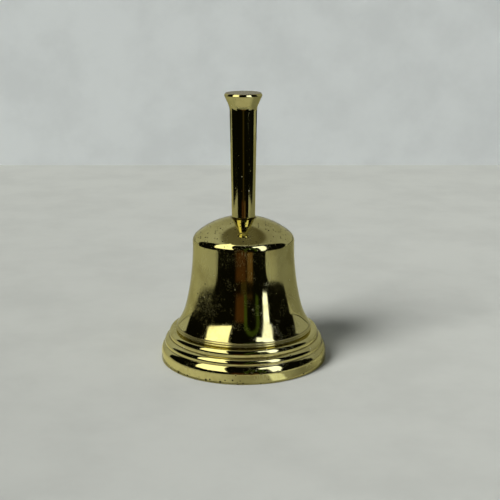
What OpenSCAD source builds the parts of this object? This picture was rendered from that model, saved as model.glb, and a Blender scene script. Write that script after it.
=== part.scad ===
// Small brass hand bell that stands on its mouth.
// Millimetres. The origin is the centre of the mouth, in the plane of the rim.
// +Z runs up the axis through the handle.

/* [Bell] */
// Outer radius of the mouth
mouth_r = 37.5; // [37:0.1:38.5]
// Height of the plain band around the rim
rim_h = 3.8; // [3:0.1:4.5]
// Radius of the body just below its shoulder
shoulder_r = 22.7; // [22:0.1:23.2]
// Height of the flat seat on the crown that the handle stands on
seat_z = 65; // [64.8:0.1:65.2]
// Thickness of the wall of the waist and crown
wall = 2.7; // [2.2:0.1:3]
// Thickness of the rim at its lower face
lip = 3.2; // [2.6:0.1:3.6]

/* [Handle] */
// Overall height of the bell with its handle
total_h = 120; // [112:0.5:126]
// Radius of the handle at its foot
foot_r = 5.2; // [4.9:0.1:5.6]
// Radius of the handle where its flare begins
neck_r = 5.95; // [5.7:0.05:6.3]
// Largest radius of the flared top
top_r = 8.35; // [8:0.05:9]

/* [Clapper] */
// Radius of the clapper ball
ball_r = 7.5; // [6:0.1:7.6]
// Height of the centre of the ball when it hangs
ball_z = 14.5; // [14:0.1:16]
// Radius of the clapper rod
rod_r = 1.5; // [1.2:0.1:1.6]
// Mean radius of the wire ring that the clapper hangs from
link_r = 4; // [3.9:0.1:4.1]
// Radius of the ring's wire
link_wire_r = 0.9; // [0.8:0.05:0.95]
// Radius of the staple's threaded shank
shank_r = 2; // [1.8:0.1:2.1]

/* [Hidden] */
$fn = 180;
arc_fn = 720;
brass = [0.80, 0.68, 0.32];
steel = [0.70, 0.71, 0.72];
leather = [0.42, 0.27, 0.15];
eps = 0.01;

// Three stepped rings above the rim band, from the lowest up: foot radius, height at which
// the ring starts to curve in, radius of the curve, and height of the ring's top.
rim_chamfer = 0.4;
low_ring = [mouth_r, rim_h, 5.5, rim_h + 3.9];
mid_ring = [mouth_r - 1.7, rim_h + 4.5, 2.6, rim_h + 7.05];
top_ring = [mouth_r - 3.7, rim_h + 8, 2.9, rim_h + 10.25];

// Two fine beads above the rings
bead_r = 0.45;
bead_pitch = 0.95;
bead_z = top_ring[3] + 0.5;
bead_top_z = bead_z + bead_pitch + 0.9;

// The waist is one long hollow arc that runs into a tighter one above the beads.
waist_arc_r = 116;
waist_centre = [shoulder_r + waist_arc_r, 53];
flare_arc_r = 25.8;
flare_z = 25;
flare_dir = [-sqrt(pow(waist_arc_r, 2) - pow(waist_centre[1] - flare_z, 2)), flare_z - waist_centre[1]] / waist_arc_r;
flare_centre = waist_centre + (waist_arc_r - flare_arc_r) * flare_dir;

// The crown is a shallow dome with a rounded shoulder.
dome_r = 33;
dome_centre_z = 32.4;
shoulder_arc_r = 4.1;
shoulder_x = shoulder_r - shoulder_arc_r;
shoulder_z = dome_centre_z + sqrt(pow(dome_r - shoulder_arc_r, 2) - pow(shoulder_x, 2));
shoulder_angle = atan2(shoulder_z - dome_centre_z, shoulder_x);
crown_inner_z = seat_z - 3.6;
crown_hole_r = shank_r + 0.25;

// Handle
foot_chamfer = 0.3;
top_bevel_h = 1;
top_bevel_w = 0.55;
flare_angle = 24;
neck_arc_r = 7.7;
flare_cone_h = (top_r - neck_r - neck_arc_r * (1 - cos(flare_angle))) / tan(flare_angle);
neck_z = total_h - top_bevel_h - flare_cone_h - neck_arc_r * sin(flare_angle);
tapped_depth = 16;
thread_bite = 0.05;

// Washers and nut under the crown, from the crown down
leather_t = 1;
leather_r = 6.5;
washer_t = 0.8;
washer_r = 4.5;
nut_t = 2.2;
nut_flats = 7;
washer_z = crown_inner_z - leather_t;
nut_z = washer_z - washer_t - nut_t;

// Staple, ring and clapper loop. Each hangs from the wire above it with a small gap, and
// the two joints turn about the centres of the wires at hook_z and link_foot_z.
hang_gap = 0.15;
eye_r = 3.2;
eye_wire_r = 1.2;
eye_z = nut_z - 1 - eye_r - eye_wire_r;
hook_z = eye_z - eye_r;
link_z = hook_z + eye_wire_r + link_wire_r + hang_gap - link_r;
link_foot_z = link_z - link_r;
loop_r = 2.7;
loop_wire_r = 1.1;
loop_z = link_foot_z + link_wire_r + loop_wire_r + hang_gap - loop_r;

// Ball and what holds it on the rod
ball_flat = 0.3;
collar_r = 2.7;
collar_h = 1.4;
end_nut_t = 2.4;
end_nut_flats = 5.5;
rod_end = 0.8;
ball_top_z = ball_z + ball_r - ball_flat;
ball_foot_z = ball_z - ball_r + ball_flat;
rod_foot_z = ball_foot_z - end_nut_t - rod_end;

// Outline of a stepped ring down to height z0
module ring_outline(ring, z0) {
    straight = ring[0] - ring[2];
    translate([0, z0]) square([ring[0], ring[1] - z0]);
    intersection() {
        translate([0, ring[1]]) square([ring[0], ring[3] - ring[1]]);
        union() {
            translate([0, ring[1]]) square([straight, ring[2]]);
            translate([straight, ring[1]]) circle(ring[2]);
        }
    }
}

// Outline of the waist and crown, moved inwards by inset and cut off at height z1
module upper_outline(inset, z0, z1) {
    rim_r = shoulder_r - inset;
    arc_r = shoulder_arc_r - inset;
    tangent = [shoulder_x + arc_r * cos(shoulder_angle), shoulder_z + arc_r * sin(shoulder_angle)];
    difference() {
        translate([0, z0]) square([mouth_r, waist_centre[1] - z0]);
        translate(waist_centre) circle(waist_arc_r + inset, $fn = arc_fn);
    }
    polygon([[0, waist_centre[1] - eps], [rim_r, waist_centre[1] - eps], [rim_r, shoulder_z],
             tangent, [0, tangent[1]]]);
    translate([shoulder_x, shoulder_z]) circle(arc_r);
    intersection() {
        translate([0, dome_centre_z]) circle(dome_r - inset, $fn = arc_fn);
        translate([0, tangent[1]]) square([rim_r, z1 - tangent[1]]);
    }
}

module bell_outline() {
    polygon([[0, 0], [mouth_r - rim_chamfer, 0], [mouth_r, rim_chamfer], [mouth_r, rim_h], [0, rim_h]]);
    ring_outline(low_ring, rim_h - eps);
    ring_outline(mid_ring, low_ring[3] - eps);
    ring_outline(top_ring, mid_ring[3] - eps);
    bead_x = flare_centre[0] - sqrt(pow(flare_arc_r, 2) - pow(flare_centre[1] - bead_top_z, 2));
    translate([0, top_ring[3] - eps]) square([bead_x, bead_top_z - top_ring[3] + 2 * eps]);
    for (i = [0:1]) {
        translate([bead_x + 0.15 - 0.1 * i, bead_z + bead_pitch * i]) circle(bead_r);
    }
    difference() {
        translate([0, bead_top_z]) square([mouth_r, flare_z - bead_top_z]);
        translate(flare_centre) circle(flare_arc_r, $fn = arc_fn);
    }
    upper_outline(0, flare_z - eps, seat_z);
}

module hollow_outline() {
    mouth_in = mouth_r - lip;
    waist_in = waist_centre[0] - sqrt(pow(waist_arc_r + wall, 2) - pow(waist_centre[1] - flare_z, 2));
    polygon([[0, -1], [mouth_in + 0.4, -1], [mouth_in + 0.4, 0], [mouth_in, 0.5],
             [waist_in, flare_z], [0, flare_z]]);
    upper_outline(wall, flare_z - eps, crown_inner_z);
}

module bell_shell() {
    color(brass)
    difference() {
        rotate_extrude(angle = 360) bell_outline();
        rotate_extrude(angle = 360) hollow_outline();
        translate([0, 0, crown_inner_z - 1]) cylinder(r = crown_hole_r, h = 6);
    }
}

// Solid brass, tapped from below for the staple
module handle() {
    flare_z0 = neck_z + neck_arc_r * sin(flare_angle);
    flare_r0 = neck_r + neck_arc_r * (1 - cos(flare_angle));
    color(brass)
    difference() {
        rotate_extrude(angle = 360) {
            polygon([[0, seat_z], [foot_r - foot_chamfer, seat_z], [foot_r, seat_z + foot_chamfer],
                     [neck_r, neck_z], [0, neck_z]]);
            difference() {
                translate([0, neck_z - eps]) square([flare_r0 + 1, flare_z0 - neck_z + eps]);
                translate([neck_r + neck_arc_r, neck_z]) circle(neck_arc_r);
            }
            polygon([[0, flare_z0 - eps], [flare_r0, flare_z0 - eps], [top_r, total_h - top_bevel_h],
                     [top_r - top_bevel_w, total_h], [0, total_h]]);
        }
        translate([0, 0, seat_z - 1]) cylinder(r = shank_r - thread_bite, h = tapped_depth + 1);
        translate([0, 0, seat_z - eps]) cylinder(r1 = shank_r + 0.4, r2 = shank_r - thread_bite, h = 0.45);
        translate([0, 0, seat_z + tapped_depth - eps]) cylinder(r1 = shank_r - thread_bite, r2 = 0, h = 1.2);
    }
}

// Screw eye: its ring stands in the YZ plane
module clapper_staple() {
    color(steel) {
        translate([0, 0, eye_z]) rotate([0, 90, 0])
            rotate_extrude(angle = 360) translate([eye_r, 0]) circle(eye_wire_r);
        translate([0, 0, eye_z + eye_r]) cylinder(r = shank_r, h = seat_z + tapped_depth - 3 - eye_z - eye_r);
        translate([0, 0, seat_z + tapped_depth - 3 - eps]) cylinder(r1 = shank_r, r2 = shank_r - 0.5, h = 0.5);
    }
}

module washer(r, hole_r, z, t) {
    difference() {
        translate([0, 0, z]) cylinder(r = r, h = t);
        translate([0, 0, z - 1]) cylinder(r = hole_r, h = t + 2);
    }
}

module crown_leather_washer() {
    color(leather) washer(leather_r, crown_hole_r, washer_z, leather_t);
}

module crown_plain_washer() {
    color(steel) washer(washer_r, shank_r + 0.15, washer_z - washer_t, washer_t);
}

// Hexagon nut with chamfered corners
module hex_nut(flats, hole_r, z, t) {
    corner_r = flats / sqrt(3);
    chamfer = 0.35;
    difference() {
        intersection() {
            translate([0, 0, z]) cylinder(r = corner_r, h = t, $fn = 6);
            union() {
                translate([0, 0, z]) cylinder(r1 = corner_r - chamfer, r2 = corner_r, h = chamfer * 0.6);
                translate([0, 0, z + chamfer * 0.6]) cylinder(r = corner_r, h = t - chamfer * 1.2);
                translate([0, 0, z + t - chamfer * 0.6])
                    cylinder(r1 = corner_r, r2 = corner_r - chamfer, h = chamfer * 0.6);
            }
        }
        translate([0, 0, z - 1]) cylinder(r = hole_r, h = t + 2);
    }
}

module crown_nut() {
    color(steel) hex_nut(nut_flats, shank_r - thread_bite, nut_z, nut_t);
}

// Wire ring in the XZ plane, through the staple's eye
module swivel_link() {
    color(steel) translate([0, 0, link_z]) rotate([90, 0, 0])
        rotate_extrude(angle = 360) translate([link_r, 0]) circle(link_wire_r);
}

// Rod with a loop at its top and a collar that the ball is clamped against
module clapper_rod() {
    color(brass) {
        translate([0, 0, loop_z]) rotate([0, 90, 0])
            rotate_extrude(angle = 360) translate([loop_r, 0]) circle(loop_wire_r);
        translate([0, 0, rod_foot_z + 0.3]) cylinder(r = rod_r, h = loop_z - loop_r - rod_foot_z - 0.3);
        translate([0, 0, rod_foot_z]) cylinder(r1 = rod_r - 0.3, r2 = rod_r, h = 0.3);
        translate([0, 0, ball_top_z]) cylinder(r = collar_r, h = collar_h);
        translate([0, 0, ball_top_z + collar_h]) cylinder(r1 = collar_r, r2 = rod_r, h = 1.2);
    }
}

module clapper_ball() {
    color(brass)
    difference() {
        translate([0, 0, ball_z]) sphere(ball_r);
        translate([0, 0, ball_top_z]) cylinder(r = ball_r, h = 2);
        translate([0, 0, ball_foot_z - 2]) cylinder(r = ball_r, h = 2);
        translate([0, 0, ball_z - ball_r]) cylinder(r = rod_r + 0.05, h = 2 * ball_r);
    }
}

module clapper_end_nut() {
    color(brass) hex_nut(end_nut_flats, rod_r - thread_bite, ball_foot_z - end_nut_t, end_nut_t);
}

bell_shell();
handle();
clapper_staple();
crown_leather_washer();
crown_plain_washer();
crown_nut();
swivel_link();
clapper_rod();
clapper_ball();
clapper_end_nut();
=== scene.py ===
"""Looks of the small brass hand bell: turned meshes, materials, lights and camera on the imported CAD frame."""

import math

import bpy
import numpy as np
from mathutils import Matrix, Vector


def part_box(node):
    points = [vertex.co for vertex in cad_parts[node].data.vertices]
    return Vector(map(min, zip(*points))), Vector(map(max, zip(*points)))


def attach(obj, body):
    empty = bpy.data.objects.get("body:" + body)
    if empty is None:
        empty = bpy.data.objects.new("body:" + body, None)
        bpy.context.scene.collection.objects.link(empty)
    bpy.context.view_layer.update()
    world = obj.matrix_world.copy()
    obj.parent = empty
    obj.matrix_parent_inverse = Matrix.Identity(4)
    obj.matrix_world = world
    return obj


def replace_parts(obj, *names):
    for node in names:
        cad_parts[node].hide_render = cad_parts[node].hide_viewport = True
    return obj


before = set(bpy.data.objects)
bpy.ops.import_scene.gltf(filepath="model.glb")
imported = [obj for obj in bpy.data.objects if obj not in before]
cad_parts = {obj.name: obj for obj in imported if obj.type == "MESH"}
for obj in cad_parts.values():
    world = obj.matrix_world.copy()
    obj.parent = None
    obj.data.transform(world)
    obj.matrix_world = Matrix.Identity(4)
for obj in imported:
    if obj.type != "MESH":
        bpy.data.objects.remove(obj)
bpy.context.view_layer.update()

MM = 0.001

# ---------------------------------------------------------------- outlines, in millimetres

# spacing of the points that an outline is worked out on
LINE_STEP = 0.025


def arc(centre_r, centre_z, radius, start, end, step=0.05):
    """Points of an arc in the (r, z) plane, angles in degrees."""
    count = max(4, int(abs(math.radians(end - start)) * radius / step))
    angle = np.radians(np.linspace(start, end, count))
    return [(centre_r + radius * math.cos(a), centre_z + radius * math.sin(a)) for a in angle]


def resampled(points, step, closed):
    """The same line as evenly spaced points, with its length."""
    points = np.asarray(points, float)
    if closed:
        points = np.vstack([points, points[:1]])
    keep = np.r_[True, np.hypot(*np.diff(points, axis=0).T) > 1e-9]
    points = points[keep]
    run = np.r_[0, np.cumsum(np.hypot(*np.diff(points, axis=0).T))]
    count = int(run[-1] / step)
    at = np.linspace(0, run[-1], count, endpoint=not closed)
    return np.stack([np.interp(at, run, points[:, k]) for k in (0, 1)], 1), run[-1]


def softened(points, width, closed, step=LINE_STEP):
    """The line with its corners rounded over about this width."""
    line, length = resampled(points, step, closed)
    reach = int(4 * width / step) + 1
    bell_curve = np.exp(-0.5 * (np.arange(-reach, reach + 1) * step / width) ** 2)
    bell_curve /= bell_curve.sum()
    if closed:
        padded = np.vstack([line[-reach:], line, line[:reach]])
    else:
        first = 2 * line[0] - line[1 : reach + 1][::-1]
        last = 2 * line[-1] - line[-reach - 1 : -1][::-1]
        padded = np.vstack([first, line, last])
    return np.stack([np.convolve(padded[:, k], bell_curve, "valid") for k in (0, 1)], 1), length


def slopes(line, closed):
    """Unit tangents of a line of points."""
    if closed:
        step = np.roll(line, -1, 0) - np.roll(line, 1, 0)
    else:
        step = np.gradient(line, axis=0)
    return step / np.maximum(np.hypot(*step.T), 1e-12)[:, None]


def outline(points, rows, width=0.09, closed=False, fine=None):
    """A softened outline thinned to so many rows, close together where it bends.

    Gives points, outward normals, run along the line, and how hollow (groove) the line is at each.
    The outline goes with the material on its left, as an anticlockwise path does.
    """
    line, length = softened(points, width, closed)
    tangent = slopes(line, closed)
    turn = np.roll(tangent, -1, 0) - tangent
    turn[-1] = turn[-2] if not closed else turn[-1]
    step = length / len(line)
    bend = (tangent[:, 0] * turn[:, 1] - tangent[:, 1] * turn[:, 0]) / step
    cost = np.minimum(np.abs(bend), 8) ** 0.6 + 0.55
    if fine is not None:
        cost = cost * fine(line)
    total = np.r_[0, np.cumsum(cost)]
    at = np.linspace(0, total[-1], rows, endpoint=not closed)
    index = np.interp(at, total, np.arange(len(total)))
    index = np.clip(index, 0, len(line) - 1)
    numbers = np.arange(len(line))
    place = np.stack([np.interp(index, numbers, line[:, k]) for k in (0, 1)], 1)
    along = np.stack([np.interp(index, numbers, tangent[:, k]) for k in (0, 1)], 1)
    along /= np.maximum(np.hypot(*along.T), 1e-12)[:, None]
    if not closed:
        place[0], place[-1] = line[0], line[-1]
    normal = np.stack([along[:, 1], -along[:, 0]], 1)
    reach = int(0.12 / LINE_STEP)
    window = np.ones(2 * reach + 1) / (2 * reach + 1)
    mean = np.convolve(np.pad(bend, reach, "edge"), window, "valid")
    mean = np.interp(index, numbers, mean)
    return {
        "place": place,
        "normal": normal,
        "run": index * step,
        "groove": np.clip(-mean / 2.5, 0, 1),
        "closed": closed,
    }


# ---------------------------------------------------------------- turned meshes


def dents(rng, count, height, depth, size):
    """Random shallow dents: where round the axis, where along the outline, how deep and how wide."""
    return np.stack(
        [
            rng.uniform(-math.pi, math.pi, count),
            rng.uniform(*height, count),
            rng.uniform(*depth, count),
            rng.uniform(*size, count),
        ],
        1,
    )


def pressed(shape, theta, marks):
    """How far dents push the surface in, on the grid of rows and angles."""
    radius = shape["place"][:, :1]
    run = shape["run"][:, None]
    total = np.zeros((len(run), len(theta)))
    for angle, at, depth, size in marks:
        near = np.abs(run[:, 0] - at) < 3.2 * size
        across = (theta[None, :] - angle + math.pi) % (2 * math.pi) - math.pi
        gap = (radius[near] * across) ** 2 + (run[near] - at) ** 2
        total[near] += depth * np.exp(-gap / size**2)
    return total


def turned(name, shape, segments, sink=None, pit=None):
    """A mesh turned round the Z axis from an outline, with exact normals and wear attributes.

    sink is how far in millimetres each point of the grid lies below the true outline.
    """
    rows = len(shape["place"])
    theta = np.arange(segments) / segments * 2 * math.pi - math.pi
    sink = np.zeros((rows, segments)) if sink is None else sink
    place, normal = shape["place"], shape["normal"]
    radius = place[:, :1] - normal[:, :1] * sink
    height = place[:, 1:] - normal[:, 1:] * sink
    along = np.gradient(sink, shape["run"], axis=0)
    around = (np.roll(sink, -1, 1) - np.roll(sink, 1, 1)) / (4 * math.pi / segments)
    around = around / np.maximum(place[:, :1], 0.3)
    tangent = np.stack([-normal[:, 1], normal[:, 0]], 1)
    out_r = normal[:, :1] + along * tangent[:, :1]
    out_z = normal[:, 1:] + along * tangent[:, 1:]
    cos, sin = np.cos(theta)[None, :], np.sin(theta)[None, :]
    points = np.stack([radius * cos, radius * sin, height], 2) * MM
    normals = np.stack([out_r * cos - around * sin, out_r * sin + around * cos, out_z], 2)
    normals /= np.linalg.norm(normals, axis=2)[..., None]
    return grid_mesh(name, points, normals, shape, pit)


def grid_mesh(name, points, normals, shape, pit):
    """Joins a grid of points into faces. A row on the axis becomes one point."""
    rows, segments = points.shape[:2]
    number = np.arange(rows * segments).reshape(rows, segments)
    on_axis = [r for r in (0, rows - 1) if not shape["closed"] and shape["place"][r, 0] < 1e-6]
    for r in on_axis:
        number[r] = number[r, 0]
        normals[r] = (0, 0, 1 if normals[r, 0, 2] > 0 else -1)
    last = rows if shape["closed"] else rows - 1
    faces, bands = [], []
    for r in range(last):
        below, above = number[r], number[(r + 1) % rows]
        right = np.roll(np.arange(segments), -1)
        ring = np.stack([below, below[right], above[right], above], 1)
        for quad in ring.tolist():
            faces.append([v for k, v in enumerate(quad) if v != quad[k - 1]])
        bands += [r] * segments
    used = np.unique(number)
    renumber = np.zeros(rows * segments, int)
    renumber[used] = np.arange(len(used))
    faces = [[int(renumber[v]) for v in face] for face in faces]
    mesh = bpy.data.meshes.new(name)
    mesh.from_pydata(points.reshape(-1, 3)[used].tolist(), [], faces)
    mesh.polygons.foreach_set("use_smooth", np.ones(len(faces), bool))
    add_values(mesh, "groove", np.repeat(shape["groove"][:, None], segments, 1).reshape(-1)[used])
    add_values(mesh, "pit", np.zeros(len(used)) if pit is None else pit.reshape(-1)[used])
    mesh.update()
    mesh.normals_split_custom_set_from_vertices(normals.reshape(-1, 3)[used].tolist())
    piece = bpy.data.objects.new(name, mesh)
    bpy.context.scene.collection.objects.link(piece)
    return piece, np.array(bands)


def add_values(mesh, name, values):
    """Keeps one number for each vertex, which a material reads."""
    attribute = mesh.attributes.new(name, "FLOAT", "POINT")
    attribute.data.foreach_set("value", np.asarray(values, np.float32))


# ---------------------------------------------------------------- the bell's shell

SEAT_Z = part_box("handle")[0].z / MM
TOP_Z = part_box("handle")[1].z / MM
MOUTH_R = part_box("bell_shell")[1].x / MM
WALL = 2.7
LIP = 3.2
RIM_CHAMFER = 0.4
# stepped rings from the lowest up: foot radius, foot height, then the curve's height, radius and end angle
RINGS = [
    (MOUTH_R, RIM_CHAMFER, 3.8, 5.5, 45.15),
    (MOUTH_R - 1.7, 7.7, 8.3, 2.6, 78.8),
    (MOUTH_R - 3.7, 10.85, 11.8, 2.9, 50.9),
]
BEAD_R = 0.45
FLARE_CENTRE = (51.17, 31.23)
FLARE_R = 25.8
FLARE_FOOT_Z = 16.4
FLARE_TOP_Z = 25
WAIST_CENTRE = (138.7, 53.0)
WAIST_R = 116
SHOULDER_CENTRE = (18.6, 54.52)
SHOULDER_R = 4.1
SHOULDER_END = 49.9
DOME_R = 33
DOME_CENTRE_Z = 32.4
CROWN_HOLE_R = 2.25
CROWN_INNER_Z = 61.4
# waviness left by turning and polishing: waves in a turn, their pitch up the wall, depth and phase
SHELL_WAVES = [(3, 0.05, 0.012, 0.4), (7, -0.11, 0.004, 2.0), (13, 0.19, 0.0015, 4.1)]


def hollow_angle(centre, radius, z):
    """Angle at this height on the near side of an arc whose centre lies outside the bell."""
    return 180 + math.degrees(math.asin((centre[1] - z) / radius))


def dome_angle(radius, z):
    """Angle at this height on a dome arc."""
    return math.degrees(math.asin((z - DOME_CENTRE_Z) / radius))


def ring_outline(foot_r, foot_z, curve_z, curve_r, end):
    """A stepped ring: straight up from its foot, then curved in."""
    return [(foot_r, foot_z)] + arc(foot_r - curve_r, curve_z, curve_r, 0, end)


def shell_outline():
    """The whole section of the shell, anticlockwise: up the outside and down the inside."""
    flare_foot = hollow_angle(FLARE_CENTRE, FLARE_R, FLARE_FOOT_Z)
    flare_top = hollow_angle(FLARE_CENTRE, FLARE_R, FLARE_TOP_Z)
    waist_foot = hollow_angle(WAIST_CENTRE, WAIST_R, FLARE_TOP_Z)
    inner_waist_foot = hollow_angle(WAIST_CENTRE, WAIST_R + WALL, FLARE_TOP_Z)
    inner_dome_top = dome_angle(DOME_R - WALL, CROWN_INNER_Z)
    foot_r = FLARE_CENTRE[0] - math.sqrt(FLARE_R**2 - (FLARE_CENTRE[1] - FLARE_FOOT_Z) ** 2)
    points = [(MOUTH_R - LIP + RIM_CHAMFER, 0), (MOUTH_R - RIM_CHAMFER, 0)]
    for ring in RINGS:
        points += ring_outline(*ring)
    points += [(foot_r + 0.02, 14.05)] + arc(foot_r + 0.15, 14.55, BEAD_R, -80, 80)
    points += arc(foot_r + 0.05, 15.5, BEAD_R, -80, 80) + [(foot_r, 16.2)]
    points += arc(*FLARE_CENTRE, FLARE_R, flare_foot, flare_top)
    points += arc(*WAIST_CENTRE, WAIST_R, waist_foot, 180)
    points += arc(*SHOULDER_CENTRE, SHOULDER_R, 0, SHOULDER_END)
    points += arc(0, DOME_CENTRE_Z, DOME_R, SHOULDER_END, dome_angle(DOME_R, SEAT_Z))
    points += [(CROWN_HOLE_R, SEAT_Z), (CROWN_HOLE_R, CROWN_INNER_Z)]
    points += arc(0, DOME_CENTRE_Z, DOME_R - WALL, inner_dome_top, SHOULDER_END)
    points += arc(*SHOULDER_CENTRE, SHOULDER_R - WALL, SHOULDER_END, 0)
    points += arc(*WAIST_CENTRE, WAIST_R + WALL, 180, inner_waist_foot)
    points += [(MOUTH_R - LIP, 0.5)]
    return points


def in_hollow(line):
    """Whether each point of the section is on the inside of the wall."""
    return line[:, 0] < np.interp(line[:, 1], [0, 25, 55, 66], [35, 25, 21, 3])


def shell_fineness(line):
    """How closely the rows lie: closest on the rim band, and sparse inside the bell."""
    rim_band = (line[:, 1] < 4.5) & (line[:, 0] > 35.5)
    return np.where(rim_band, 2.2, 1.0) * np.where(in_hollow(line), 0.5, 1)


def make_shell():
    """The bell's body, with softened edges, small dents, a little waviness and pits on the rim band."""
    rng = np.random.default_rng(7)
    shape = outline(shell_outline(), 196, closed=True, fine=shell_fineness)
    segments = 504
    theta = np.arange(segments) / segments * 2 * math.pi - math.pi
    run = shape["run"][:, None]
    waves = sum(
        depth * np.sin(turns * theta[None, :] + run * pitch + phase)
        for turns, pitch, depth, phase in SHELL_WAVES
    )
    marks = dents(rng, 90, (6, 110), (0.002, 0.012), (1.2, 4.5))
    knocks = dents(rng, 26, (2.6, 9), (0.03, 0.1), (0.35, 0.8))
    nicks = dents(rng, 30, (3.1, 22), (0.02, 0.06), (0.3, 0.55))
    sharp = pressed(shape, theta, knocks) + pressed(shape, theta, nicks)
    sink = 0.02 + waves + pressed(shape, theta, marks) + sharp
    # painted shade: the line where the handle meets the crown counts as a full groove, so it is painted darker
    # and made rougher
    seat = np.abs(shape["place"][:, 0] - 5.0) < 0.75
    shape["groove"] = np.where(seat & (shape["place"][:, 1] > 63), 1.0, shape["groove"])
    piece, bands = turned("bell_body", shape, segments, sink - sink.min(), np.clip(sharp / 0.06, 0, 1))
    hollow = in_hollow(shape["place"])
    piece.data.polygons.foreach_set("material_index", hollow[bands].astype(np.int32))
    return piece


# ---------------------------------------------------------------- the handle


HANDLE_FOOT_R = 5.2
FOOT_CHAMFER = 0.3
NECK_R = 5.95
NECK_ARC_R = 7.7
FLARE_ANGLE = 24
DISC_R = 8.35
BEVEL_W, BEVEL_H = 0.55, 1
TAPPED_R = 1.95
TAPPED_DEPTH = 16
TAPPED_CHAMFER = 0.45
DRILL_POINT = 1.2


def handle_outline():
    """The handle's section from the axis at its foot, round the outside, to the axis at its top."""
    flare = math.radians(FLARE_ANGLE)
    cone_r = NECK_R + NECK_ARC_R * (1 - math.cos(flare))
    cone_h = (DISC_R - cone_r) / math.tan(flare)
    neck_z = TOP_Z - BEVEL_H - cone_h - NECK_ARC_R * math.sin(flare)
    points = [(0, SEAT_Z + TAPPED_DEPTH + DRILL_POINT), (TAPPED_R, SEAT_Z + TAPPED_DEPTH)]
    points += [(TAPPED_R, SEAT_Z + TAPPED_CHAMFER), (TAPPED_R + TAPPED_CHAMFER, SEAT_Z)]
    points += [(HANDLE_FOOT_R - FOOT_CHAMFER, SEAT_Z), (HANDLE_FOOT_R, SEAT_Z + FOOT_CHAMFER)]
    points += arc(NECK_R + NECK_ARC_R, neck_z, NECK_ARC_R, 180, 180 - FLARE_ANGLE)
    points += [(DISC_R, TOP_Z - BEVEL_H), (DISC_R - BEVEL_W, TOP_Z), (0, TOP_Z)]
    return points


def make_handle():
    """The turned handle, with a few dents and small knocks."""
    rng = np.random.default_rng(21)
    shape = outline(handle_outline(), 150, width=0.07)
    segments = 192
    theta = np.arange(segments) / segments * 2 * math.pi - math.pi
    run = shape["run"][:, None]
    waves = 0.004 * np.sin(2 * theta[None, :] + run * 0.13) + 0.0015 * np.sin(5 * theta[None, :] - run * 0.3)
    marks = dents(rng, 50, (25, 82), (0.002, 0.01), (0.8, 2.5))
    knocks = dents(rng, 26, (25, 84), (0.01, 0.03), (0.25, 0.5))
    sharp = pressed(shape, theta, knocks)
    sink = waves + pressed(shape, theta, marks) + sharp
    fade = np.clip(shape["place"][:, :1] / 4, 0, 1)
    piece, _ = turned("handle_rod", shape, segments, (sink - sink.min()) * fade, np.clip(sharp / 0.02, 0, 1))
    return piece


# ---------------------------------------------------------------- shader helpers


class Graph:
    """Short ways to add shader nodes to a tree."""

    def __init__(self, tree):
        self.tree = tree
        tree.nodes.clear()

    def add(self, kind, inputs=None, **settings):
        node = self.tree.nodes.new(kind)
        for key, value in settings.items():
            setattr(node, key, value)
        for key, value in (inputs or {}).items():
            if isinstance(value, bpy.types.NodeSocket):
                self.tree.links.new(value, node.inputs[key])
            else:
                node.inputs[key].default_value = value
        return node

    def calc(self, operation, a, b=0.0, c=0.0):
        return self.add("ShaderNodeMath", {0: a, 1: b, 2: c}, operation=operation).outputs[0]

    def distance(self, a, b=(0.0, 0.0, 0.0)):
        node = self.add("ShaderNodeVectorMath", {0: a, 1: b}, operation="DISTANCE")
        return node.outputs["Value"]

    def ramp(self, value, low, high, to_low=0.0, to_high=1.0, smooth=True):
        """value turned from low..high into to_low..to_high, and held there outside."""
        inputs = {"Value": value, "From Min": low, "From Max": high, "To Min": to_low, "To Max": to_high}
        kind = "SMOOTHSTEP" if smooth else "LINEAR"
        return self.add("ShaderNodeMapRange", inputs, interpolation_type=kind).outputs[0]

    def blend(self, share, a, b):
        """Colour a where share is 0 and b where it is 1."""
        node = self.add("ShaderNodeMix", data_type="RGBA")
        for socket, value in zip((node.inputs[0], node.inputs[6], node.inputs[7]), (share, a, b)):
            if isinstance(value, bpy.types.NodeSocket):
                self.tree.links.new(value, socket)
            elif isinstance(value, tuple):
                socket.default_value = (*value, 1)
            else:
                socket.default_value = value
        return node.outputs[2]

    def noise(self, vector, scale, detail=2.0, rough=0.5, warp=0.0):
        inputs = {"Vector": vector, "Scale": scale, "Detail": detail, "Roughness": rough, "Distortion": warp}
        return self.add("ShaderNodeTexNoise", inputs).outputs["Fac"]

    def mapped(self, vector, scale=(1, 1, 1), turn=(0, 0, 0), shift=(0, 0, 0)):
        inputs = {"Vector": vector, "Scale": scale, "Rotation": turn, "Location": shift}
        return self.add("ShaderNodeMapping", inputs).outputs[0]

    def held(self, name):
        """A number kept on the mesh's vertices."""
        return self.add("ShaderNodeAttribute", attribute_name=name).outputs["Fac"]


def surface(name):
    """A new material with its graph and the object's coordinates in millimetres."""
    material = bpy.data.materials.new(name)
    material.use_nodes = True
    graph = Graph(material.node_tree)
    place = graph.add("ShaderNodeTexCoord").outputs["Object"]
    return material, graph, graph.mapped(place, scale=(1000, 1000, 1000))


def close_surface(graph, shader):
    graph.add("ShaderNodeOutputMaterial", {"Surface": shader.outputs[0]})


def close_solid(graph, colour, rough, relief, depth, **more):
    """Ends a material with its shader. relief is a height from 0 to 1, and depth its real size in metres."""
    bump = graph.add("ShaderNodeBump", {"Height": relief, "Distance": depth, "Strength": 1.0})
    inputs = {"Base Color": colour, "Roughness": rough, "Normal": bump.outputs[0], **more}
    close_surface(graph, graph.add("ShaderNodeBsdfPrincipled", inputs))


def scratches(graph, place, angles, width, length, share):
    """Short hairlines along some directions, 1 on a line and 0 beside it."""
    total = None
    for k, turn in enumerate(angles):
        grain = (1 / width, 1 / width, 1 / length)
        stretched = graph.mapped(place, scale=grain, turn=turn, shift=(7 * k, 3 * k, k))
        line = graph.ramp(graph.noise(stretched, 1.0, 1.0), share, share + 0.05)
        total = line if total is None else graph.calc("MAXIMUM", total, line)
    return total


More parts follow.
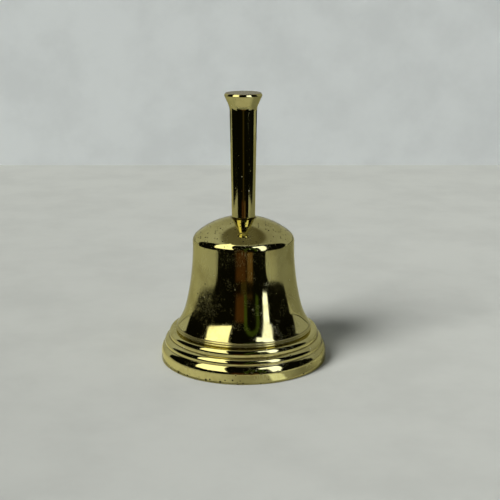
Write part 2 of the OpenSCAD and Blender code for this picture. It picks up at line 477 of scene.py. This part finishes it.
def spots(graph, place, pitch, size, share, shift=0.0):
    """Small round spots, one to a cell, in only some of the cells."""
    moved = graph.mapped(place, shift=(shift, shift, shift))
    cells = graph.add("ShaderNodeTexVoronoi", {"Vector": moved, "Scale": 1 / pitch, "Randomness": 1.0})
    chance = graph.add("ShaderNodeSeparateColor", {0: cells.outputs["Color"]})
    radius = graph.ramp(chance.outputs[0], 1 - share, 1, 0, size / pitch, smooth=False)
    gap = graph.calc("SUBTRACT", radius, cells.outputs["Distance"])
    return graph.ramp(gap, 0.0, 0.12 * size / pitch + 0.02)


# ---------------------------------------------------------------- materials

BRASS = (0.53, 0.475, 0.182)
BRASS_DULL = (0.42, 0.365, 0.132)
# the colour of the painted shade laid into the grooves
GROOVE_SHADE = (0.16, 0.12, 0.042)
BRASS_FACE = (0.22, 0.165, 0.075)
PIT_DARK = (0.035, 0.026, 0.012)
HAZE = (0.70, 0.68, 0.45)
EDGE_TINT = (0.85, 0.82, 0.62, 1)
METAL = {"Metallic": 1.0}
POLISHED_METAL = {"Metallic": 1.0, "Specular Tint": EDGE_TINT}


def polished_brass(name, pit_top, speck_share, wear=1.0, scuff=0.0, face_z=None):
    """Hand-polished brass: soft patina, painted shade in the grooves, hairlines, pits and pale specks."""
    material, graph, place = surface(name)
    groove, knock = graph.held("groove"), graph.held("pit")
    patina = graph.ramp(graph.noise(place, 0.09, 5, 0.6), 0.42, 0.68)
    blotch = graph.ramp(graph.noise(place, 0.35, 4, 0.65, 0.4), 0.55, 0.75)
    height = graph.add("ShaderNodeSeparateXYZ", {0: place}).outputs[2]
    low = graph.ramp(height, pit_top, pit_top * 0.5)
    high = graph.calc("MULTIPLY", graph.ramp(height, 50, 58, 0, 0.8), graph.ramp(height, 66, 65))
    pit_zone = graph.calc("MAXIMUM", graph.calc("MAXIMUM", low, high), 0.25)
    small_pits = spots(graph, place, 1.1, 0.44, 0.8)
    wide_pits = spots(graph, place, 3.4, 0.75, 0.16, 11.0)
    pits = graph.calc("MAXIMUM", small_pits, wide_pits)
    pits = graph.calc("MULTIPLY", pits, graph.ramp(pit_zone, 0.2, 0.9))
    stray = spots(graph, place, 3.1, 0.42, 0.24 * wear, 23.0)
    pits = graph.calc("MAXIMUM", graph.calc("MAXIMUM", pits, stray), graph.ramp(knock, 0.45, 1.0))
    specks = spots(graph, place, 1.5, 0.42, speck_share, 41.0)
    lines = scratches(graph, place, [(0.5, 0.2, 0), (1.9, -0.4, 0.6), (1.1, 0.9, 1.7)], 0.12, 4.0, 0.70)
    fine = scratches(graph, place, [(1.57, 0.1, 0.3), (1.4, -0.2, 1.2)], 0.07, 6.0, 0.69)
    rubbed = graph.ramp(graph.noise(place, 0.16, 3, 0.6), 0.45, 0.62)
    hair = graph.calc("MULTIPLY", graph.calc("MAXIMUM", lines, fine), graph.calc("MULTIPLY", rubbed, wear))
    colour = graph.blend(patina, BRASS, BRASS_DULL)
    colour = graph.blend(graph.calc("MULTIPLY", blotch, 0.35), colour, BRASS_DULL)
    # painted shade: the colour is darkened in the grooves
    colour = graph.blend(graph.calc("MULTIPLY", groove, 0.85), colour, GROOVE_SHADE)
    colour = graph.blend(graph.calc("MULTIPLY", hair, 0.4), colour, HAZE)
    colour = graph.blend(graph.calc("MULTIPLY", specks, 0.7), colour, HAZE)
    colour = graph.blend(pits, colour, PIT_DARK)
    rough = graph.ramp(patina, 0, 1, 0.055, 0.10, smooth=False)
    rough = graph.calc("MULTIPLY_ADD", blotch, 0.03, rough)
    rough = graph.calc("MULTIPLY_ADD", groove, 0.25, rough)
    rough = graph.calc("MULTIPLY_ADD", hair, 0.3, rough)
    if face_z:
        # the flat face of the handle's top is duller than the sides
        face = graph.ramp(height, face_z - 0.15, face_z - 0.05)
        colour = graph.blend(graph.calc("MULTIPLY", face, 0.9), colour, BRASS_FACE)
        rough = graph.calc("MULTIPLY_ADD", face, 0.2, rough)
    if scuff:
        # a hazy patch where the skirt has been rubbed, in front on the left
        away = graph.distance(place, (-19, -19, 29))
        haze = graph.ramp(graph.noise(place, 0.5, 4, 0.7), 0.4, 0.7)
        haze = graph.calc("MULTIPLY", graph.ramp(away, 13, 4), haze)
        rough = graph.calc("MULTIPLY_ADD", haze, scuff, rough)
    rough = graph.calc("MAXIMUM", rough, graph.calc("MULTIPLY", pits, 0.6))
    rough = graph.calc("MAXIMUM", rough, graph.calc("MULTIPLY", specks, 0.5))
    turned_lines = graph.noise(graph.mapped(place, scale=(0.02, 0.02, 9)), 1.0, 2)
    relief = graph.calc("MULTIPLY", turned_lines, 0.0006)
    relief = graph.calc("MULTIPLY_ADD", hair, -0.0016, relief)
    relief = graph.calc("MULTIPLY_ADD", pits, -0.02, relief)
    relief = graph.calc("MULTIPLY_ADD", graph.noise(place, 1.2, 2), 0.002, relief)
    # this relief is in millimetres already
    close_solid(graph, colour, rough, relief, MM, **POLISHED_METAL)
    return material


def dull_brass(name, tone, shade, ring_pitch):
    """Turned but unpolished brass with tool rings and brown tarnish."""
    material, graph, place = surface(name)
    tarnish = graph.ramp(graph.noise(place, 0.22, 6, 0.65), 0.35, 0.7)
    rings = graph.noise(graph.mapped(place, scale=(0.02, 0.02, 1 / ring_pitch)), 1.0, 3)
    colour = graph.blend(tarnish, tone, shade)
    colour = graph.blend(graph.ramp(rings, 0.55, 0.8, 0, 0.35), colour, tone)
    colour = graph.blend(graph.calc("MULTIPLY", spots(graph, place, 2.2, 0.5, 0.3), 0.8), colour, PIT_DARK)
    rough = graph.ramp(tarnish, 0, 1, 0.24, 0.5, smooth=False)
    relief = graph.calc("MULTIPLY_ADD", graph.noise(place, 2.5, 3), 0.3, rings)
    close_solid(graph, colour, rough, relief, 0.02 * MM, **METAL)
    return material


def plated_steel(name):
    """Zinc-plated steel, greyed, with a mottled crystal look and small dark stains."""
    material, graph, place = surface(name)
    mottle = graph.add("ShaderNodeTexVoronoi", {"Vector": place, "Scale": 1.6}).outputs["Color"]
    grain = graph.add("ShaderNodeSeparateColor", {0: mottle}).outputs[1]
    stain = graph.ramp(graph.noise(place, 0.6, 5, 0.7), 0.5, 0.75)
    colour = graph.blend(grain, (0.52, 0.53, 0.53), (0.66, 0.67, 0.66))
    colour = graph.blend(graph.calc("MULTIPLY", stain, 0.6), colour, (0.26, 0.22, 0.17))
    rough = graph.calc("MULTIPLY_ADD", stain, 0.25, graph.ramp(grain, 0, 1, 0.22, 0.34))
    close_solid(graph, colour, rough, graph.noise(place, 6, 4), 0.03 * MM, **METAL)
    return material


def oiled_leather(name):
    """Dark oiled leather with a pebbled grain and a paler cut edge."""
    material, graph, place = surface(name)
    grain = graph.add("ShaderNodeTexVoronoi", {"Vector": place, "Scale": 2.6}, feature="DISTANCE_TO_EDGE")
    crease = graph.ramp(grain.outputs["Distance"], 0.0, 0.12)
    wear = graph.ramp(graph.noise(place, 0.5, 5, 0.6), 0.4, 0.7)
    colour = graph.blend(wear, (0.14, 0.075, 0.036), (0.24, 0.14, 0.07))
    colour = graph.blend(crease, (0.05, 0.028, 0.015), colour)
    rough = graph.ramp(wear, 0, 1, 0.5, 0.72)
    close_solid(graph, colour, rough, crease, 0.06 * MM)
    return material


def paint(piece, *materials):
    piece.data.materials.clear()
    for material in materials:
        piece.data.materials.append(material)


# ---------------------------------------------------------------- studio, in metres

DEGREES = 180 / math.pi
WALL_Y = 0.495
FRONT_CARD_R = 0.195
SIDE_CARD_R = 0.25
CAMERA_PLACE = (0.0029, -0.4719, 0.1726)
CAMERA_DOWN = 14.58
PALE = (0.54, 0.565, 0.60)
ROOM_DARK = (0.004, 0.004, 0.0015)
OVERHEAD = (0.12, 0.11, 0.065)
FLOOR_SEEN = (0.46, 0.475, 0.43)
WINDOW_LEFT = (2.4, 2.4, 2.25)
WINDOW_RIGHT = (2.4, 2.6, 3.7)


def patch(graph, azimuth, elevation, left, right, low, high, soft=1.2):
    """1 inside a window of the room, whose edges are azimuths and elevations, and 0 outside."""
    sides = graph.calc(
        "MULTIPLY",
        graph.ramp(graph.calc("SUBTRACT", azimuth, left), -soft, soft),
        graph.ramp(graph.calc("SUBTRACT", right, azimuth), -soft, soft),
    )
    ends = graph.calc(
        "MULTIPLY",
        graph.ramp(elevation, low - soft, low + soft),
        graph.ramp(elevation, high + soft, high - soft),
    )
    return graph.calc("MULTIPLY", sides, ends)


def dark_room(graph, azimuth, elevation):
    """The dark front of the room, with a warm upright shape, a paler bar and a dull green ring in it."""
    warm = patch(graph, azimuth, elevation, -15.0, 5.0, -20, 12, 4)
    room = graph.blend(graph.calc("MULTIPLY", warm, 0.9), ROOM_DARK, (0.085, 0.036, 0.012))
    stalk = patch(graph, azimuth, elevation, 8.0, 19.0, -20, 0, 2)
    room = graph.blend(stalk, room, (0.16, 0.095, 0.042))
    across = graph.calc("DIVIDE", graph.calc("SUBTRACT", azimuth, 16), 15)
    drop = graph.calc("DIVIDE", graph.calc("MAXIMUM", graph.calc("SUBTRACT", elevation, 14), 0), 24)
    reach = graph.calc("MULTIPLY_ADD", drop, drop, graph.calc("POWER", across, 2))
    reach = graph.calc("SQRT", reach)
    ring = graph.calc("MULTIPLY", graph.ramp(reach, 0.52, 0.7), graph.ramp(reach, 1.06, 0.92))
    ring = graph.calc("MULTIPLY", ring, graph.ramp(elevation, -4, 1))
    return graph.blend(graph.calc("MULTIPLY", ring, 0.85), room, (0.055, 0.092, 0.016))


def sheet_of(name, corners, material):
    """A flat sheet for the studio, which isn't part of the object."""
    mesh = bpy.data.meshes.new(name)
    mesh.from_pydata(corners, [], [list(range(len(corners)))])
    mesh.materials.append(material)
    sheet = bpy.data.objects.new(name, mesh)
    bpy.context.scene.collection.objects.link(sheet)
    return sheet


def pale_paint(name, tone):
    """Pale painted surface of the floor or wall, nearly plain, with faint mottling."""
    material, graph, place = surface(name)
    cloud = graph.noise(place, 0.02, 4, 0.6)
    shade = tuple(c * 0.93 for c in tone)
    colour = graph.blend(graph.ramp(cloud, 0.35, 0.7), tone, shade)
    close_surface(graph, graph.add("ShaderNodeBsdfDiffuse", {"Color": colour, "Roughness": 0.6}))
    return material


def round_azimuth(graph, place):
    """The azimuth of a point in degrees, from the front towards +X."""
    axes = graph.add("ShaderNodeSeparateXYZ", {0: place}).outputs
    front = graph.calc("MULTIPLY", axes[1], -1.0)
    return graph.calc("MULTIPLY", graph.calc("ARCTAN2", axes[0], front), DEGREES)


def dark_paint(name):
    """The dark front of the room on a card. Its dim shapes thin out to one slim stripe farther away."""
    material, graph, place = surface(name)
    azimuth = round_azimuth(graph, place)
    away = graph.distance(place)
    stripe = patch(graph, azimuth, 0.0, -5.0, 7.0, -9, 9, 2)
    distant = graph.blend(stripe, ROOM_DARK, (0.042, 0.032, 0.010))
    colour = graph.blend(graph.ramp(away, 230, 290), dark_room(graph, azimuth, -6.0), distant)
    close_surface(graph, graph.add("ShaderNodeEmission", {"Color": colour}))
    return material


def sheen_paint(name):
    """The sheen of the windows on the floor close to the rim, and the lit floor under the handle's flare."""
    material, graph, place = surface(name)
    azimuth = round_azimuth(graph, place)
    colour = graph.blend(graph.ramp(azimuth, -32, 4), (0.78, 0.79, 0.72), (0.44, 0.45, 0.41))
    colour = graph.blend(graph.ramp(azimuth, 30, 50), colour, (0.29, 0.30, 0.28))
    colour = graph.blend(patch(graph, azimuth, 0.0, 21.0, 32.0, -9, 9, 1.5), colour, (1.3, 1.4, 1.4))
    away = graph.distance(place)
    colour = graph.blend(graph.ramp(away, 50, 66), colour, (0.60, 0.60, 0.56))
    share = patch(graph, azimuth, 0.0, -118.0, 63.0, -9, 9, 9)
    share = graph.calc("MULTIPLY", share, graph.ramp(away, 130, 100))
    colour = graph.blend(share, FLOOR_SEEN, colour)
    close_surface(graph, graph.add("ShaderNodeEmission", {"Color": colour}))
    return material


def side_paint(name):
    """The floor as the sides of the bell mirror it: brighter on the left and in shade on the right."""
    material, graph, place = surface(name)
    azimuth = round_azimuth(graph, place)
    away = graph.distance(place)
    share = graph.calc("MULTIPLY", graph.ramp(away, 80, 120), graph.ramp(away, 600, 420))
    left = graph.calc("MULTIPLY", patch(graph, azimuth, 0.0, -145.0, -80.0, -9, 9, 14), share)
    right = graph.calc("MULTIPLY", patch(graph, azimuth, 0.0, 74.0, 148.0, -9, 9, 14), share)
    colour = graph.blend(left, FLOOR_SEEN, (0.51, 0.52, 0.46))
    colour = graph.blend(right, colour, (0.26, 0.27, 0.25))
    close_surface(graph, graph.add("ShaderNodeEmission", {"Color": colour}))
    return material


def window_paint(name):
    """The foot of the right window, a little less bright towards its outer side."""
    material, graph, place = surface(name)
    shade = tuple(0.85 * c for c in WINDOW_RIGHT)
    colour = graph.blend(graph.ramp(round_azimuth(graph, place), 44, 51), WINDOW_RIGHT, shade)
    close_surface(graph, graph.add("ShaderNodeEmission", {"Color": colour}))
    return material


def only_mirrored(card):
    """Makes this a card that only reflections see."""
    card.visible_camera = False
    card.visible_diffuse = False
    card.visible_shadow = False
    card.visible_transmission = False


def round_the_bell(radius, azimuth, height):
    """A point at this azimuth, in degrees, from the front towards +X."""
    a = math.radians(azimuth)
    return radius * math.sin(a), -radius * math.cos(a), height


def card_band(name, radius, stops, high, material):
    """A card bent round the bell. stops are azimuths and the height of its lower edge there."""
    azimuths = np.linspace(stops[0][0], stops[-1][0], 48)
    lows = np.interp(azimuths, *zip(*stops))
    points = [round_the_bell(radius, a, low) for a, low in zip(azimuths, lows)]
    points += [(x, y, high) for x, y, _ in points]
    count = len(azimuths)
    faces = [(k, k + 1, k + 1 + count, k + count) for k in range(count - 1)]
    mesh = bpy.data.meshes.new(name)
    mesh.from_pydata(points, [], faces)
    mesh.materials.append(material)
    card = bpy.data.objects.new(name, mesh)
    bpy.context.scene.collection.objects.link(card)
    only_mirrored(card)


def make_backdrop():
    """Pale floor and wall."""
    floor_paint = pale_paint("floor_paint", (0.66, 0.675, 0.635))
    wall_paint = pale_paint("wall_paint", (0.86, 0.89, 0.89))
    sheet_of("floor", [(-4, -4, 0), (4, -4, 0), (4, 4, 0), (-4, 4, 0)], floor_paint)
    wall = [(-0.7, WALL_Y, 0), (1.44, WALL_Y, 0), (1.44, WALL_Y, 0.8), (-0.7, WALL_Y, 0.8)]
    sheet_of("wall", wall, wall_paint).visible_glossy = False


def make_front_cards():
    """The dark front of the room, on cards that only reflections see, and the foot of the right window."""
    dark = dark_paint("dark_card")
    left_edge = [(-113.5, 0.0115), (-100, 0.0115), (-56, 0.0215)]
    right_edge = [(48, 0.0185), (92, 0.0108), (96, 0.015), (102, 0.034)]
    card_band("card_front", FRONT_CARD_R, [(-55, 0), (48, 0)], 0.026, dark)
    card_band("card_left", SIDE_CARD_R, left_edge, 0.085, dark)
    card_band("card_right", SIDE_CARD_R, right_edge, 0.085, dark)
    card_band("card_window", 0.65, [(40.5, 0.018), (51, 0.018)], 0.04, window_paint("bright_card"))
    # a dark card that lies on the floor in front: distances and azimuths of its side edges
    left = [(FRONT_CARD_R, -56), (SIDE_CARD_R, -54), (0.33, -56), (0.45, -62), (0.7, -75), (1.2, -100)]
    right = [(1.2, 92), (0.7, 70), (0.45, 56), (0.33, 50), (SIDE_CARD_R, 48), (FRONT_CARD_R, 48)]
    far = [(12, a) for a in (-108, *range(-90, 100, 15), 98)]
    near = [(FRONT_CARD_R, a) for a in range(40, -55, -10)]
    sector = [round_the_bell(r, a, 0.0005) for r, a in left + far + right + near]
    only_mirrored(sheet_of("card_floor", sector, dark))


def make_floor_cards():
    """The floor as the bell's two sides and its rim mirror it."""
    sides = side_paint("floor_sides")
    for name, first, last in (("card_side_left", -164, -60), ("card_side_right", 56, 164)):
        edge = [round_the_bell(0.08, a, 0.0002) for a in range(first, last, 4)]
        edge += [round_the_bell(0.6, a, 0.0002) for a in range(last, first, -4)]
        only_mirrored(sheet_of(name, edge, sides))
    inner = [round_the_bell(0.0395, a, 0.0003) for a in range(-130, 76, 5)]
    outer = [round_the_bell(0.13, a, 0.0003) for a in range(75, -131, -5)]
    only_mirrored(sheet_of("card_sheen", inner + outer, sheen_paint("floor_sheen")))


def softbox(name, azimuth, elevation, distance, width, height, power, warmth):
    """A soft lamp that points at the bell. It lights the scene and isn't mirrored: the room below is."""
    lamp = bpy.data.lights.new(name, "AREA")
    lamp.shape = "RECTANGLE"
    lamp.size, lamp.size_y = width, height
    lamp.energy = power
    lamp.color = warmth
    box = bpy.data.objects.new(name, lamp)
    bpy.context.scene.collection.objects.link(box)
    a, e = math.radians(azimuth), math.radians(elevation)
    back = (math.sin(a) * math.cos(e), -math.cos(a) * math.cos(e), math.sin(e))
    box.location = [distance * c for c in back]
    turn = math.atan2(back[0], -back[1])
    box.rotation_euler = (math.pi / 2 - e, 0, turn)
    box.visible_camera = False
    box.visible_glossy = False
    return box


def make_lamps():
    """A large soft key lamp on the left, a weak one on the right, and a wash up the wall."""
    softbox("key_left", -49, 40, 5.2, 2.4, 2.1, 219.0, (1.0, 1.0, 0.98))
    softbox("key_right", 46, 34, 5.2, 1.6, 3.6, 5.0, (1.0, 0.99, 0.96))
    wash = softbox("wall_wash", 0, 0, 0.1, 1.2, 0.25, 6.4, (1.0, 1.0, 1.0))
    wash.location = (0.1, 0.15, 0.75)
    wash.rotation_euler = (math.radians(142), 0, 0)


def make_world():
    """The room as polished brass mirrors it: dark in front with two windows, pale overhead and behind."""
    world = bpy.data.worlds.new("room")
    bpy.context.scene.world = world
    world.use_nodes = True
    graph = Graph(world.node_tree)
    direction = graph.add("ShaderNodeTexCoord").outputs["Generated"]
    axes = graph.add("ShaderNodeSeparateXYZ", {0: direction}).outputs
    azimuth = round_azimuth(graph, direction)
    elevation = graph.calc("MULTIPLY", graph.calc("ARCSINE", axes[2]), DEGREES)
    across = graph.calc("DIVIDE", graph.calc("ADD", azimuth, 6), 115)
    across = graph.calc("POWER", graph.calc("ABSOLUTE", across), 4)
    up = graph.calc("DIVIDE", graph.calc("MAXIMUM", graph.calc("SUBTRACT", elevation, 5), 0), 63)
    reach = graph.calc("ADD", across, graph.calc("POWER", up, 2))
    room = graph.blend(graph.ramp(axes[0], -0.6, 0.7), PALE, tuple(0.78 * c for c in PALE))
    overhead = graph.distance(direction, (0, 0.25, 0.97))
    room = graph.blend(graph.ramp(overhead, 0.50, 0.38, 0, 0.9), room, OVERHEAD)
    room = graph.blend(graph.ramp(reach, 1.03, 0.96), room, dark_room(graph, azimuth, elevation))
    lean = graph.calc("MULTIPLY", graph.calc("SUBTRACT", elevation, 18), -0.35)
    left_edge, right_edge = graph.calc("ADD", lean, -69.0), graph.calc("ADD", lean, -22.0)
    left = patch(graph, azimuth, elevation, left_edge, right_edge, 18, 74)
    inner = graph.calc("MULTIPLY_ADD", elevation, -0.08, 40.0)
    outer = graph.calc("MULTIPLY_ADD", elevation, 0.2, 51.0)
    right = patch(graph, azimuth, elevation, inner, outer, -4, 44)
    above = patch(graph, azimuth, elevation, 26.0, 60.0, 39.5, 52)
    room = graph.blend(left, room, WINDOW_LEFT)
    room = graph.blend(graph.calc("MAXIMUM", right, above), room, WINDOW_RIGHT)
    path = graph.add("ShaderNodeLightPath").outputs
    fill = graph.blend(path["Is Camera Ray"], (0.055, 0.057, 0.057), (0.46, 0.47, 0.45))
    seen = graph.blend(path["Is Glossy Ray"], fill, room)
    background = graph.add("ShaderNodeBackground", {"Color": seen, "Strength": 1.0})
    graph.add("ShaderNodeOutputWorld", {"Surface": background.outputs[0]})


def make_camera():
    """The camera at the photograph's angle."""
    lens = bpy.data.cameras.new("camera")
    lens.lens = 78.4
    lens.sensor_width = 36
    lens.clip_start = 0.01
    camera = bpy.data.objects.new("camera", lens)
    bpy.context.scene.collection.objects.link(camera)
    camera.location = CAMERA_PLACE
    camera.rotation_euler = (math.radians(90 - CAMERA_DOWN), 0, 0)
    bpy.context.scene.camera = camera


# ---------------------------------------------------------------- assembly

make_camera()
make_backdrop()
make_front_cards()
make_floor_cards()
make_world()
make_lamps()

bright = polished_brass("polished_brass", pit_top=3.0, speck_share=0.06, scuff=0.16)
grip = polished_brass("polished_brass_handle", pit_top=1.0, speck_share=0.10, wear=0.35, face_z=TOP_Z)
inside = dull_brass("dull_brass", (0.36, 0.28, 0.115), (0.17, 0.12, 0.05), 0.5)
clapper = dull_brass("clapper_brass", (0.46, 0.37, 0.17), (0.26, 0.19, 0.085), 0.35)
steel = plated_steel("plated_steel")
leather = oiled_leather("oiled_leather")

body = make_shell()
paint(body, bright, inside)
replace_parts(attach(body, "bell"), "bell_shell")

rod = make_handle()
paint(rod, grip)
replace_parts(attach(rod, "bell"), "handle")

finishes = {
    "bell_shell": bright,
    "handle": grip,
    "clapper_staple": steel,
    "crown_leather_washer": leather,
    "crown_plain_washer": steel,
    "crown_nut": steel,
    "swivel_link": steel,
    "clapper_rod": clapper,
    "clapper_ball": clapper,
    "clapper_end_nut": clapper,
}
for node, material in finishes.items():
    paint(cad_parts[node], material)

bpy.context.scene.view_settings.view_transform = "Standard"
